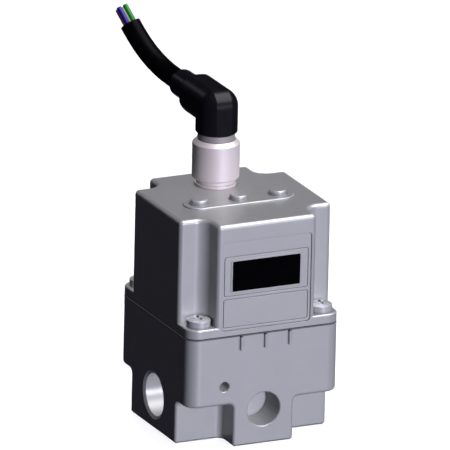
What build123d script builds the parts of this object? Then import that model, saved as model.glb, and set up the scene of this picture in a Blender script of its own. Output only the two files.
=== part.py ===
from build123d import *
from math import hypot, isclose, pi, radians, tan
import os

# An electro pneumatic regulator, in millimetres. A die-cast body holds the supply valve, the
# diaphragm and three ports. A moulded cover over it holds two pilot solenoids, the pressure
# sensor, the boards, the display and three buttons, and a right-angle plug with its cable is
# screwed onto the socket on top. The origin is at the middle of the body's underside, X runs
# to the right of the front, Y to the back and Z up.

os.makedirs("parts", exist_ok=True)

# Body block, which is widest above a ledge and has four bosses below it
width = 50.0
depth = 50.0
body_height = 35.1
body_corner_r = 4.0
ledge_height = 13.45
side_boss_half = 16.0
front_boss_half = 9.9
boss_root_r = 1.7
boss_inner_r = 1.8
boss_edge_r = 0.9
foot_chamfer = 0.5
joint_chamfer = 0.25

# Ports
side_port_height = 10.4
side_port_r = 6.55
side_port_depth = 10.5
side_mouth_r = 7.5
side_mouth_depth = 0.6
outlet_port_height = 10.8
outlet_port_r = 5.3
outlet_port_depth = 10.0
outlet_mouth_r = 5.6
outlet_mouth_depth = 0.4
bleed_x = -13.15
bleed_height = 19.3
bleed_r = 1.5
bleed_mouth_r = 1.75
bleed_mouth_depth = 0.3
bleed_depth = 6.0

# Ribs at the top of the front
rib_count = 3
rib_pitch = 8.0
rib_width = 0.8
rib_proud = 0.9
rib_length = 4.5
rib_edge_r = 0.3

# Central bore of the body, from the underside up
guide_bore_r = 11.0
guide_bore_mouth = 0.5
ring_height = 1.0
ring_thickness = 1.0
ring_groove_deep = 0.7
guide_seat_height = 9.6
supply_chamber_r = 9.0
web_bottom = 15.0
web_top = 17.5
seat_bore_r = 4.6
seat_lip_width = 0.8
seat_lip_height = 0.4
outlet_chamber_r = 14.5
rim_ledge_height = 23.5
pilot_bore_r = 18.3

# Air passages from the ports
supply_passage_height = 12.4
supply_passage_r = 2.2
exhaust_passage_height = 5.5
exhaust_passage_r = 1.6
outlet_passage_x = -1.8
outlet_passage_height = 13.0
outlet_passage_r = 2.0
outlet_well_inset = 2.1

# Tapped holes for the mounting bracket, in the underside
bracket_inset = 6.0
bracket_y = 11.0
bracket_hole_r = 2.0
bracket_hole_depth = 6.0

# Cover
cover_height = 35.3
cover_wall = 2.0
cover_top_wall = 2.2
flange_thickness = 3.1
flange_edge_r = 0.5
cover_edge_r = 1.35
cover_top_edge_r = 1.3

# Cover screws, each in a scallop of its own
screw_inset_x = 4.9
screw_inset_y = 4.6
scallop_r = 3.8
cover_screw_r = 1.95
cover_screw_length = 11.0
cover_screw_head_r = 3.65
cover_screw_head_side = 2.1
cover_screw_head_dome = 0.8
screw_hole_gap = 0.05
screw_clear_gap = 0.15
screw_hole_spare = 1.5

# Crossed recess and tip of every screw, as shares of its head's radius, its head's height and
# its shank's radius
screw_slot_length = 1.1
screw_slot_width = 0.22
screw_slot_depth = 0.55
screw_tip = 0.3

# Gasket between the body and the cover
gasket_thickness = 0.8
gasket_width = 1.1
gasket_inset = 0.3

# Front panel in its recess, and the display behind it
panel_width = 29.6
panel_bottom = 36.95
panel_top = 65.0
panel_corner_r = 1.2
panel_recess = 1.2
panel_thickness = 0.85
panel_gap = 0.1
line_width = 0.25
line_depth = 0.15
upper_field_width = 27.8
upper_field_bottom = 47.7
upper_field_top = 60.3
lower_field_width = 28.0
lower_field_bottom = 37.8
lower_field_top = 46.9
field_corner_r = 0.8
window_width = 22.3
window_bottom = 49.1
window_top = 58.65
window_corner_r = 0.4
window_gap = 0.05
bezel_width = 0.5
bezel_height = 0.2
display_width = 25.0
display_height = 11.4
display_thickness = 2.4
display_edge = 0.3

# Boards
board_thickness = 1.6
board_corner_r = 0.8
display_board_width = 27.6
display_board_bottom = 41.0
display_board_top = 66.0
control_board_bottom = 61.0
control_board_inset_x = 4.0
control_board_inset_y = 12.0
control_tongue_half_x = 12.0
control_tongue_inset = 4.0
board_post_inset = 2.6
board_post_r = 2.4
board_screw_r = 1.0
board_screw_length = 5.5
board_screw_head_r = 1.9
board_screw_head_side = 0.9
board_screw_head_dome = 0.4

# Buttons on a raised pad
button_pitch = 13.0
button_inset = 21.1
pad_r = 4.9
pad_height = 0.5
pad_edge_r = 0.35
button_rim_r = 3.0
button_rim_height = 0.4
button_cap_r = 2.65
button_edge_r = 0.55
button_proud = 1.43
button_gap = 0.08
button_flange_r = 3.6
button_flange_thickness = 1.1
button_top_gap = 0.1
switch_size = 6.0
switch_corner_r = 0.5
switch_height = 3.4
switch_stem_r = 1.7
switch_stem_depth = 1.0
switch_travel = 0.4
switch_spare = 0.2

# Socket on the cover's top
socket_inset = 12.5
socket_base_r = 6.3
socket_base_height = 0.9
socket_stem_r = 5.5
socket_hole_gap = 0.1
socket_stem_length = 4.8
socket_thread_r = 5.9
socket_thread_length = 9.1
socket_bore_r = 4.2
socket_nut_flats = 14.0
socket_nut_thickness = 2.0
socket_washer_r = 7.6
socket_washer_thickness = 0.8
insert_gap = 0.05
socket_insert_rise = 0.4
socket_insert_height = 7.5
pin_count = 4
pin_circle_r = 2.0
pin_start_angle = 45
pin_r = 0.5
pin_set_back = 1.4
pin_tail = 1.2
pin_tip_chamfer = 0.2

# Coupling nut and the parts of the plug in it
nut_base_gap = 1.45
nut_above_thread = 4.5
nut_r = 7.2
nut_bottom_edge = 0.4
nut_top_chamfer = 1.2
nut_bore_gap = 0.05
nut_flange_thickness = 1.7
nut_neck_gap = 0.1
lock_ring_thickness = 0.9
lock_ring_r = 6.4
lock_ring_gap = 0.05
lock_groove_spare = 0.05
plug_neck_r = 5.7
plug_neck_length = 2.0
plug_neck_step = 0.12
plug_neck_step_rise = 0.9
plug_collar_r = 5.85
plug_seal_thickness = 0.5
plug_seal_r = 5.5
plug_insert_gap = 0.1
plug_insert_length = 16.4
contact_r = 0.9
contact_bore_gap = 0.06
contact_tip_gap = 0.5
contact_set_back = 0.8
contact_length = 15.0

# Plug housing
plug_axis_rise = 7.85
plug_r = 6.4
plug_flat = 5.9
plug_bottom_chamfer = 0.5
plug_elbow_r = 5.3
plug_arm_length = 14.6
plug_shoulder_r = 1.2
sleeve_start_r = 4.45
sleeve_end_r = 4.3
sleeve_length = 10.65
sleeve_edge = 0.4
sleeve_bore_gap = 0.05

# Cable and its cores. A bend of the route may take up this share of the shorter run beside it.
cable_r = 3.2
cable_route = [
    (0.0, 34.5, 94.75),
    (0.0, 41.2, 94.75),
    (-1.65, 48.75, 96.25),
    (-4.8, 56.3, 101.5),
    (-6.65, 61.0, 107.1),
]
bend_share = 0.45
core_r = 0.7
core_length = 5.9
core_circle_r = 1.5
core_start_angle = 20
core_colours = ["white", "brown", "blue", "green"]

# Valve guide, supply valve and spring
guide_gap = 0.05
ring_seat_gap = 0.05
guide_boss_r = 3.9
guide_boss_top = 10.4
spring_pocket_r = 6.6
spring_pocket_bottom = 7.6
seal_groove_deep = 1.0
lower_seal_bottom = 2.5
upper_seal_bottom = 7.4
seal_width = 1.1
exhaust_groove_bottom = 4.2
exhaust_groove_top = 6.8
exhaust_groove_deep = 1.4
exhaust_well_spare = 1.4
exhaust_cross_r = 1.1
exhaust_cross_height = 4.9
stem_r = 2.4
stem_bore_r = 1.4
stem_bottom = 6.2
stem_top = 18.6
stem_gap = 0.05
poppet_r = 6.4
poppet_bottom = 12.4
poppet_thickness = 1.2
poppet_rim = 0.4
valve_stroke = 1.2
valve_spring_r = 5.3
valve_spring_wire_r = 0.35
valve_spring_turns = 3.5

# Retaining ring
retainer_inner_r = 9.8
retainer_gap_half = 2.4
retainer_ear_x = 3.4
retainer_ear_r = 1.7
retainer_ear_hole_r = 0.65

# Diaphragm
rim_thickness = 1.0
rim_gap = 0.2
membrane_thickness = 0.6
plate_r = 10.4
plate_thickness = 1.2
roll_height = 1.3
roll_gap = 0.4
rod_r = 2.6
rod_seal_r = 2.9
rod_seal_thickness = 1.0
stud_r = 1.4
stud_gap = 0.05
rivet_r = 2.3
rivet_height = 0.8
exhaust_lift = 0.8

# Pilot block
pilot_chamber_r = 14.3
pilot_chamber_spare = 1.4
pilot_gap = 0.1
pilot_flange_thickness = 2.5
pilot_flange_gap = 0.3
pilot_screw_x = 10.5
pilot_screw_inset = 5.0
pilot_screw_r = 1.45
pilot_screw_length = 8.0
pilot_screw_head_r = 2.5
pilot_screw_head_side = 1.3
pilot_screw_head_dome = 0.5
pilot_orifice_r = 0.6

# Pilot solenoids, one for supply and one for exhaust
solenoid_x = 6.2
solenoid_y = -4.0
solenoid_width = 11.0
solenoid_depth = 13.0
solenoid_corner_r = 0.6
valve_base_height = 5.0
valve_well_r = 2.3
valve_well_floor = 1.6
nozzle_r = 1.0
nozzle_height = 0.5
nozzle_bore_r = 0.4
yoke_thickness = 1.2
yoke_height = 16.0
yoke_depth = 9.2
coil_gap = 0.1
coil_flange_height = 1.0
coil_winding_deep = 0.4
tube_bore_r = 1.95
core_piece_length = 7.1
plunger_gap = 0.05
plunger_travel = 0.5
plunger_pocket_r = 1.2
plunger_pocket_deep = 3.0
plunger_spring_r = 0.85
plunger_spring_wire_r = 0.15
plunger_spring_turns = 5
terminal_r = 0.3
terminal_pitch = 5.0
terminal_width = 7.0
terminal_height = 2.0

# Pressure sensor
sensor_inset = 12.2
sensor_can_r = 3.4
sensor_flange_r = 4.2
sensor_height = 5.2
sensor_flange_thickness = 1.0
sensor_bore_r = 0.8

# How near an edge lies to a level or an outline that it counts as on it
edge_slack = 0.01

# Levels and places that follow from the sizes above
body_top = body_height
cover_top = body_top + cover_height
cover_ceiling = cover_top - cover_top_wall
flange_top = body_top + flange_thickness
front = -depth / 2
pad_top = cover_top + pad_height
rim_top = rim_ledge_height + rim_thickness
pilot_top = body_top + pilot_flange_thickness
control_board_top = control_board_bottom + board_thickness
panel_face = front + panel_recess - panel_thickness
display_face = front + cover_wall
display_board_front = display_face + display_thickness
display_board_back = display_board_front + board_thickness
field_middle = (panel_bottom + panel_top) / 2
window_middle = (window_bottom + window_top) / 2
outlet_bottom_y = front + outlet_port_depth
side_bottom_x = width / 2 - side_port_depth
outlet_well_y = outlet_well_inset - outlet_chamber_r
bracket_x = width / 2 - bracket_inset
screw_x = width / 2 - screw_inset_x
screw_y = depth / 2 - screw_inset_y
screw_places = [(x, y) for x in (-screw_x, screw_x) for y in (-screw_y, screw_y)]
pilot_screw_y = depth / 2 - pilot_screw_inset
sensor_y = depth / 2 - sensor_inset
control_board_half_x = width / 2 - control_board_inset_x
control_board_half_y = depth / 2 - control_board_inset_y
control_tongue_back = depth / 2 - control_tongue_inset
board_post_x = control_board_half_x - board_post_inset
board_post_y = control_board_half_y - board_post_inset
button_y = front + button_inset
button_places = {
    "left": -button_pitch,
    "middle": 0.0,
    "right": button_pitch,
}

# The plug's stack of levels, from the socket up, and the arm's reach to the back
socket_y = depth / 2 - socket_inset
socket_base_top = cover_top + socket_base_height
socket_thread_top = socket_base_top + socket_thread_length
stem_bottom_z = cover_top - socket_stem_length
socket_insert_bottom = stem_bottom_z + socket_insert_rise
socket_insert_top = socket_insert_bottom + socket_insert_height
pin_top = socket_thread_top - pin_set_back
nut_bottom = socket_base_top + nut_base_gap
nut_top = socket_thread_top + nut_above_thread
plug_bottom = nut_top + plug_neck_length
plug_axis_height = plug_bottom + plug_axis_rise
plug_insert_bottom = socket_insert_top + plug_insert_gap
plug_insert_top = plug_insert_bottom + plug_insert_length
contact_bottom = plug_insert_bottom + contact_set_back
contact_top = contact_bottom + contact_length
plug_arm_end = socket_y + plug_arm_length
sleeve_end = plug_arm_end + sleeve_length


def save(piece, name):
    """Label a finished piece and write it under its own name."""
    piece.part.label = name
    export_step(piece.part, f"parts/{name}.step")


def turned(half_section, centre=(0.0, 0.0)):
    """A turned solid, from its half section of (radius, height) points, on an upright axis."""
    upright = Plane(origin=(*centre, 0), x_dir=(1, 0, 0), z_dir=(0, -1, 0))
    with BuildPart(mode=Mode.PRIVATE) as solid:
        with BuildSketch(upright):
            with BuildLine():
                Polyline(*half_section, close=True)
            make_face()
        revolve(axis=Axis((*centre, 0), (0, 0, 1)))
    return solid.part


def tube(inner_r, outer_r, bottom, top, centre=(0.0, 0.0)):
    """A plain ring between two heights."""
    return turned([(inner_r, bottom), (outer_r, bottom), (outer_r, top), (inner_r, top)], centre)


def pan_screw(shank_r, length, head_r, head_side, head_dome):
    """A pan-head screw with a crossed recess, its head's underside at height 0."""
    head_top = head_side + head_dome
    slot_long = screw_slot_length * head_r
    slot_wide = screw_slot_width * head_r
    slot_deep = screw_slot_depth * head_top
    tip = screw_tip * shank_r
    dome_r = (head_r**2 + head_dome**2) / (2 * head_dome)
    dome_middle = (head_r / 2, head_top - dome_r + (dome_r**2 - head_r**2 / 4) ** 0.5)
    with BuildPart(mode=Mode.PRIVATE) as screw:
        with BuildSketch(Plane.XZ):
            with BuildLine():
                Line((0, -length), (shank_r - tip, -length))
                Line((shank_r - tip, -length), (shank_r, tip - length))
                Line((shank_r, tip - length), (shank_r, 0))
                Line((shank_r, 0), (head_r, 0))
                Line((head_r, 0), (head_r, head_side))
                ThreePointArc((head_r, head_side), dome_middle, (0, head_top))
                Line((0, head_top), (0, -length))
            make_face()
        revolve(axis=Axis.Z)
        with BuildSketch(Plane.XY.offset(head_top)):
            Rectangle(slot_long, slot_wide)
            Rectangle(slot_wide, slot_long)
        extrude(amount=-slot_deep, mode=Mode.SUBTRACT)
    return screw.part


def coil_spring(radius, wire_r, turns, bottom, top, centre=(0.0, 0.0)):
    """A coil spring whose wire just fits between two heights."""
    rise = top - bottom - 2 * wire_r
    foot = Plane.XY.offset(bottom + wire_r).origin + Vector(*centre, 0)
    path = Helix(rise / turns, rise, radius, center=foot, mode=Mode.PRIVATE)
    with BuildPart(mode=Mode.PRIVATE) as spring:
        with BuildSketch(Plane(origin=path @ 0, z_dir=path % 0)):
            Circle(wire_r)
        sweep(path=path, is_frenet=True)
    return spring.part


def cover_outline(inset):
    """The cover's plan above its flange, drawn in from its faces by inset."""
    reach = scallop_r + inset
    corner_x = 2 * screw_x + width
    corner_y = 2 * screw_y + depth
    with BuildSketch(mode=Mode.PRIVATE) as plan:
        Rectangle(width - 2 * inset, depth - 2 * inset)
        with GridLocations(2 * screw_x, 2 * screw_y, 2, 2):
            Circle(reach, mode=Mode.SUBTRACT)
        with GridLocations(corner_x, corner_y - 2 * reach, 2, 2):
            Rectangle(width, depth, mode=Mode.SUBTRACT)
        with GridLocations(corner_x - 2 * reach, corner_y, 2, 2):
            Rectangle(width, depth, mode=Mode.SUBTRACT)
    return plan.sketch


def on_outline(edge):
    """Whether an edge's middle lies on the outer wall, corners included."""
    middle = edge @ 0.5
    past_x = max(abs(middle.X) - width / 2 + body_corner_r, 0)
    past_y = max(abs(middle.Y) - depth / 2 + body_corner_r, 0)
    return isclose(hypot(past_x, past_y), body_corner_r, abs_tol=edge_slack)


# Gasket, in a groove that follows the cover's inner wall
with BuildPart() as joint_gasket:
    with BuildSketch(Plane.XY.offset(body_top - gasket_thickness)):
        add(cover_outline(cover_wall - gasket_inset - gasket_width))
        add(cover_outline(cover_wall - gasket_inset), mode=Mode.SUBTRACT)
    extrude(amount=gasket_thickness)
save(joint_gasket, "joint_gasket")

# The pockets below the ledge leave a boss in the middle of each side
with BuildPart() as corner_pockets:
    with BuildSketch():
        with Locations((front_boss_half, side_boss_half)):
            Rectangle(width, depth, align=(Align.MIN, Align.MIN))
    extrude(amount=ledge_height)
    inner_edge = corner_pockets.edges().filter_by(Axis.Z).sort_by(lambda e: (e @ 0.5).X + (e @ 0.5).Y)[0]
    fillet(inner_edge, boss_inner_r)
    ceiling_edges = corner_pockets.edges().group_by(Axis.Z)[-1]
    fillet(ceiling_edges.sort_by(lambda e: (e @ 0.5).X + (e @ 0.5).Y)[:3], boss_root_r)
    mirror(about=Plane.XZ)
    mirror(about=Plane.YZ)

# Body, one die casting with its machined bores
supply_port = Plane(origin=(-width / 2, 0, side_port_height), z_dir=(1, 0, 0))
exhaust_port = Plane(origin=(width / 2, 0, side_port_height), z_dir=(-1, 0, 0))
outlet_port = Plane(origin=(0, front, outlet_port_height), z_dir=(0, 1, 0))
bleed_port = Plane(origin=(bleed_x, front, bleed_height), z_dir=(0, 1, 0))
ports = [
    (supply_port, side_port_r, side_port_depth, side_mouth_r, side_mouth_depth),
    (exhaust_port, side_port_r, side_port_depth, side_mouth_r, side_mouth_depth),
    (outlet_port, outlet_port_r, outlet_port_depth, outlet_mouth_r, outlet_mouth_depth),
    (bleed_port, bleed_r, bleed_depth, bleed_mouth_r, bleed_mouth_depth),
]
up_from_base = (Align.CENTER, Align.CENTER, Align.MIN)
with BuildPart() as body:
    with BuildSketch():
        RectangleRounded(width, depth, body_corner_r)
    extrude(amount=body_height)
    add(corner_pockets.part, mode=Mode.SUBTRACT)
    pocket_edges = body.edges().filter_by(
        lambda e: edge_slack < (e @ 0.5).Z < ledge_height + edge_slack
    )
    fillet(pocket_edges.filter_by(on_outline), boss_edge_r)
    chamfer(body.faces().sort_by(Axis.Z)[0].outer_wire().edges(), foot_chamfer)
    chamfer(body.faces().sort_by(Axis.Z)[-1].outer_wire().edges(), joint_chamfer)
    # Ribs under the joint line
    with BuildSketch(Plane.XZ.offset(depth / 2 - rib_proud)):
        with Locations((0, body_top - rib_length / 2)):
            with GridLocations(rib_pitch, 1, rib_count, 1):
                Rectangle(rib_width, rib_length)
    extrude(amount=2 * rib_proud)
    rib_edges = body.edges().filter_by(Axis.Z).filter_by(lambda e: (e @ 0.5).Y < front - rib_proud / 2)
    fillet(rib_edges, rib_edge_r)
    # Ports
    for plane, bore_r, bore_depth, mouth_r, mouth_depth in ports:
        with Locations(plane):
            Cylinder(bore_r, bore_depth, align=up_from_base, mode=Mode.SUBTRACT)
            Cone(mouth_r, bore_r, mouth_depth, align=up_from_base, mode=Mode.SUBTRACT)
    # Central bore
    bore_section = [
        (0, 0),
        (guide_bore_r + guide_bore_mouth, 0),
        (guide_bore_r, guide_bore_mouth),
        (guide_bore_r, ring_height),
        (guide_bore_r + ring_groove_deep, ring_height),
        (guide_bore_r + ring_groove_deep, ring_height + ring_thickness),
        (guide_bore_r, ring_height + ring_thickness),
        (guide_bore_r, guide_seat_height),
        (supply_chamber_r, guide_seat_height),
        (supply_chamber_r, web_bottom),
        (seat_bore_r + seat_lip_width, web_bottom),
        (seat_bore_r + seat_lip_width, web_bottom - seat_lip_height),
        (seat_bore_r, web_bottom - seat_lip_height),
        (seat_bore_r, web_top),
        (outlet_chamber_r, web_top),
        (outlet_chamber_r, rim_ledge_height),
        (pilot_bore_r, rim_ledge_height),
        (pilot_bore_r, body_top),
        (0, body_top),
    ]
    add(turned(bore_section), mode=Mode.SUBTRACT)
    # Passages from the side ports into the bore, and from the outlet port up to its chamber
    side_passages = [
        (-1, supply_passage_height, supply_passage_r, supply_chamber_r),
        (1, exhaust_passage_height, exhaust_passage_r, guide_bore_r),
    ]
    for side, height, passage_r, chamber_r in side_passages:
        with Locations(Plane(origin=(side * side_bottom_x, 0, height), z_dir=(-side, 0, 0))):
            Cylinder(passage_r, side_bottom_x - chamber_r / 2, align=up_from_base, mode=Mode.SUBTRACT)
    passage_start = (outlet_passage_x, outlet_bottom_y, outlet_passage_height)
    with Locations(Plane(origin=passage_start, z_dir=(0, 1, 0))):
        Cylinder(outlet_passage_r, outlet_well_y - outlet_bottom_y, align=up_from_base, mode=Mode.SUBTRACT)
    with Locations((outlet_passage_x, outlet_well_y, outlet_passage_height - outlet_passage_r)):
        well_height = web_top - outlet_passage_height + outlet_passage_r
        Cylinder(outlet_passage_r, well_height, align=up_from_base, mode=Mode.SUBTRACT)
    # Gasket groove and tapped holes in the top, bracket holes in the underside
    add(joint_gasket.part, mode=Mode.SUBTRACT)
    with BuildSketch(Plane.XY.offset(body_top)):
        with GridLocations(2 * screw_x, 2 * screw_y, 2, 2):
            Circle(cover_screw_r + screw_hole_gap)
    extrude(amount=-(cover_screw_length - flange_thickness + screw_hole_spare), mode=Mode.SUBTRACT)
    with BuildSketch(Plane.XY.offset(body_top)):
        with GridLocations(2 * pilot_screw_x, 2 * pilot_screw_y, 2, 2):
            Circle(pilot_screw_r + screw_hole_gap)
    extrude(amount=-(pilot_screw_length - pilot_flange_thickness + screw_hole_spare), mode=Mode.SUBTRACT)
    with BuildSketch():
        with GridLocations(2 * bracket_x, 2 * bracket_y, 2, 2):
            Circle(bracket_hole_r)
    extrude(amount=bracket_hole_depth, mode=Mode.SUBTRACT)
save(body, "body")

# Cover, one moulding
with BuildPart() as cover:
    with BuildSketch(Plane.XY.offset(body_top)):
        RectangleRounded(width, depth, body_corner_r)
    extrude(amount=cover_height)
    with BuildSketch(Plane.XY.offset(flange_top)):
        Rectangle(2 * width, 2 * depth)
        add(cover_outline(0), mode=Mode.SUBTRACT)
    extrude(amount=cover_height, mode=Mode.SUBTRACT)
    upright = cover.edges().filter_by(Axis.Z).filter_by(lambda e: (e @ 0.5).Z > flange_top)
    fillet(upright.filter_by(on_outline), cover_edge_r)
    fillet(cover.faces().sort_by(Axis.Z)[-1].outer_wire().edges(), cover_top_edge_r)
    chamfer(cover.faces().sort_by(Axis.Z)[0].outer_wire().edges(), joint_chamfer)
    flange_edges = cover.edges().filter_by(lambda e: isclose((e @ 0.5).Z, flange_top, abs_tol=edge_slack))
    fillet(flange_edges.filter_by(on_outline), flange_edge_r)
    # Room inside
    with BuildSketch(Plane.XY.offset(body_top)):
        add(cover_outline(cover_wall))
    extrude(amount=cover_ceiling - body_top, mode=Mode.SUBTRACT)
    # Posts for the control board
    with BuildSketch(Plane.XY.offset(control_board_top)):
        with GridLocations(2 * board_post_x, 2 * board_post_y, 2, 2):
            Circle(board_post_r)
    extrude(amount=cover_ceiling - control_board_top)
    with BuildSketch(Plane.XY.offset(control_board_top)):
        with GridLocations(2 * board_post_x, 2 * board_post_y, 2, 2):
            Circle(board_screw_r + screw_hole_gap)
    extrude(amount=cover_ceiling - control_board_top - board_screw_r, mode=Mode.SUBTRACT)
    # Pad and rims for the buttons
    with BuildSketch(Plane.XY.offset(cover_top)):
        with Locations((0, button_y)):
            SlotCenterToCenter(2 * button_pitch, 2 * pad_r)
    extrude(amount=pad_height)
    fillet(cover.faces().sort_by(Axis.Z)[-1].outer_wire().edges(), pad_edge_r)
    with BuildSketch(Plane.XY.offset(pad_top)):
        with Locations(*[(x, button_y) for x in button_places.values()]):
            Circle(button_rim_r)
    extrude(amount=button_rim_height)
    with BuildSketch(Plane.XY.offset(cover_ceiling)):
        with Locations(*[(x, button_y) for x in button_places.values()]):
            Circle(button_cap_r + button_gap)
        with Locations((0, socket_y)):
            Circle(socket_stem_r + socket_hole_gap)
    extrude(amount=cover_height, mode=Mode.SUBTRACT)
    # Screw holes through the corners of the flange
    with BuildSketch(Plane.XY.offset(body_top)):
        with GridLocations(2 * screw_x, 2 * screw_y, 2, 2):
            Circle(cover_screw_r + screw_clear_gap)
    extrude(amount=flange_thickness, mode=Mode.SUBTRACT)
    # Recess for the front panel, and the window through the wall
    with BuildSketch(Plane.XZ.offset(depth / 2)):
        with Locations((0, field_middle)):
            RectangleRounded(panel_width, panel_top - panel_bottom, panel_corner_r)
    extrude(amount=-panel_recess, mode=Mode.SUBTRACT)
    with BuildSketch(Plane.XZ.offset(depth / 2)):
        with Locations((0, window_middle)):
            RectangleRounded(window_width, window_top - window_bottom, window_corner_r)
    extrude(amount=-cover_wall, mode=Mode.SUBTRACT)
save(cover, "cover")

# Cover screws
with BuildPart() as cover_screws:
    with Locations(*[(x, y, flange_top) for x, y in screw_places]):
        add(
            pan_screw(
                cover_screw_r,
                cover_screw_length,
                cover_screw_head_r,
                cover_screw_head_side,
                cover_screw_head_dome,
            )
        )
save(cover_screws, "cover_screws")

# Front panel, with two fields outlined by fine grooves and a bezel round the window
fields = [
    (upper_field_width, upper_field_bottom, upper_field_top),
    (lower_field_width, lower_field_bottom, lower_field_top),
]
with BuildPart() as front_panel:
    with BuildSketch(Plane.XZ.offset(-panel_face - panel_thickness)):
        with Locations((0, field_middle)):
            plate_height = panel_top - panel_bottom - 2 * panel_gap
            RectangleRounded(panel_width - 2 * panel_gap, plate_height, panel_corner_r - panel_gap)
    extrude(amount=panel_thickness)
    for field_width, field_bottom, field_top in fields:
        with BuildSketch(Plane.XZ.offset(-panel_face)):
            with Locations((0, (field_bottom + field_top) / 2)):
                RectangleRounded(field_width, field_top - field_bottom, field_corner_r)
                RectangleRounded(
                    field_width - 2 * line_width,
                    field_top - field_bottom - 2 * line_width,
                    field_corner_r - line_width,
                    mode=Mode.SUBTRACT,
                )
        extrude(amount=-line_depth, mode=Mode.SUBTRACT)
    with BuildSketch(Plane.XZ.offset(-panel_face)):
        with Locations((0, window_middle)):
            RectangleRounded(
                window_width + 2 * bezel_width,
                window_top - window_bottom + 2 * bezel_width,
                window_corner_r + bezel_width,
            )
    extrude(amount=bezel_height)
    with BuildSketch(Plane.XZ.offset(depth / 2)):
        with Locations((0, window_middle)):
            RectangleRounded(window_width, window_top - window_bottom, window_corner_r)
    extrude(amount=-cover_wall, mode=Mode.SUBTRACT)
save(front_panel, "front_panel")

# Display window, through the panel and the cover's wall
with BuildPart() as display_window:
    with BuildSketch(Plane.XZ.offset(-display_face)):
        with Locations((0, window_middle)):
            RectangleRounded(
                window_width - 2 * window_gap,
                window_top - window_bottom - 2 * window_gap,
                window_corner_r - window_gap,
            )
    extrude(amount=display_face - panel_face)
save(display_window, "display_window")

# Display module and the board that carries it
with BuildPart() as display_module:
    with BuildSketch(Plane.XZ.offset(-display_board_front)):
        with Locations((0, window_middle)):
            Rectangle(display_width, display_height)
    extrude(amount=display_thickness)
    chamfer(display_module.faces().sort_by(Axis.Y)[0].edges(), display_edge)
save(display_module, "display_module")

with BuildPart() as display_board:
    with BuildSketch(Plane.XZ.offset(-display_board_back)):
        with Locations((0, (display_board_bottom + display_board_top) / 2)):
            board_height = display_board_top - display_board_bottom
            RectangleRounded(display_board_width, board_height, board_corner_r)
    extrude(amount=board_thickness)
save(display_board, "display_board")

# Control board, whose tongues reach the display board and the socket
with BuildPart() as control_board:
    with BuildSketch(Plane.XY.offset(control_board_bottom)):
        Rectangle(2 * control_board_half_x, 2 * control_board_half_y)
        with Locations((0, (control_tongue_back + display_board_back) / 2)):
            Rectangle(2 * control_tongue_half_x, control_tongue_back - display_board_back)
        with GridLocations(2 * board_post_x, 2 * board_post_y, 2, 2):
            Circle(board_screw_r + screw_clear_gap, mode=Mode.SUBTRACT)
        with Locations((0, socket_y)):
            with PolarLocations(pin_circle_r, pin_count, start_angle=pin_start_angle):
                Circle(pin_r + insert_gap, mode=Mode.SUBTRACT)
    extrude(amount=board_thickness)
save(control_board, "control_board")

with BuildPart() as board_screws:
    with Locations(Plane.XY.offset(control_board_bottom).rotated((180, 0, 0))):
        with GridLocations(2 * board_post_x, 2 * board_post_y, 2, 2):
            add(
                pan_screw(
                    board_screw_r,
                    board_screw_length,
                    board_screw_head_r,
                    board_screw_head_side,
                    board_screw_head_dome,
                )
            )
save(board_screws, "board_screws")

# Buttons, each over the stem of its switch
button_top = pad_top + button_proud
button_bottom = cover_ceiling - button_top_gap - button_flange_thickness
button_section = [
    (0, button_bottom),
    (button_flange_r, button_bottom),
    (button_flange_r, button_bottom + button_flange_thickness),
    (button_cap_r, button_bottom + button_flange_thickness),
    (button_cap_r, button_top),
    (0, button_top),
]
switch_top = control_board_top + switch_height
with BuildPart() as switch_bases:
    with BuildSketch(Plane.XY.offset(control_board_top)):
        with Locations(*[(x, button_y) for x in button_places.values()]):
            RectangleRounded(switch_size, switch_size, switch_corner_r)
    extrude(amount=switch_height)
    with BuildSketch(Plane.XY.offset(switch_top)):
        with Locations(*[(x, button_y) for x in button_places.values()]):
            Circle(switch_stem_r + button_gap)
    extrude(amount=-(switch_stem_depth + switch_travel + switch_spare), mode=Mode.SUBTRACT)
save(switch_bases, "switch_bases")

for side, button_x in button_places.items():
    with BuildPart() as button:
        add(turned(button_section, (button_x, button_y)))
        fillet(button.edges().group_by(Axis.Z)[-1], button_edge_r)
    save(button, f"button_{side}")
    with BuildPart() as switch_stem:
        add(tube(0, switch_stem_r, switch_top - switch_stem_depth, button_bottom, (button_x, button_y)))
    save(switch_stem, f"switch_stem_{side}")

# Socket through the cover's top, with its washer and nut inside
socket_centre = (0, socket_y)
socket_section = [
    (socket_bore_r, stem_bottom_z),
    (socket_stem_r, stem_bottom_z),
    (socket_stem_r, cover_top),
    (socket_base_r, cover_top),
    (socket_base_r, socket_base_top),
    (socket_thread_r, socket_base_top),
    (socket_thread_r, socket_thread_top),
    (socket_bore_r, socket_thread_top),
]
with BuildPart() as socket_shell:
    add(turned(socket_section, socket_centre))
save(socket_shell, "socket_shell")

washer_bottom = cover_ceiling - socket_washer_thickness
with BuildPart() as socket_washer:
    add(tube(socket_stem_r + insert_gap, socket_washer_r, washer_bottom, cover_ceiling, socket_centre))
save(socket_washer, "socket_washer")

with BuildPart() as socket_nut:
    with BuildSketch(Plane.XY.offset(washer_bottom - socket_nut_thickness)):
        with Locations(socket_centre):
            RegularPolygon(socket_nut_flats / 2, 6, major_radius=False)
            Circle(socket_stem_r + insert_gap, mode=Mode.SUBTRACT)
    extrude(amount=socket_nut_thickness)
save(socket_nut, "socket_nut")

with BuildPart() as socket_insert:
    with BuildSketch(Plane.XY.offset(socket_insert_bottom)):
        with Locations(socket_centre):
            Circle(socket_bore_r - insert_gap)
            with PolarLocations(pin_circle_r, pin_count, start_angle=pin_start_angle):
                Circle(pin_r, mode=Mode.SUBTRACT)
    extrude(amount=socket_insert_top - socket_insert_bottom)
save(socket_insert, "socket_insert")

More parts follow.
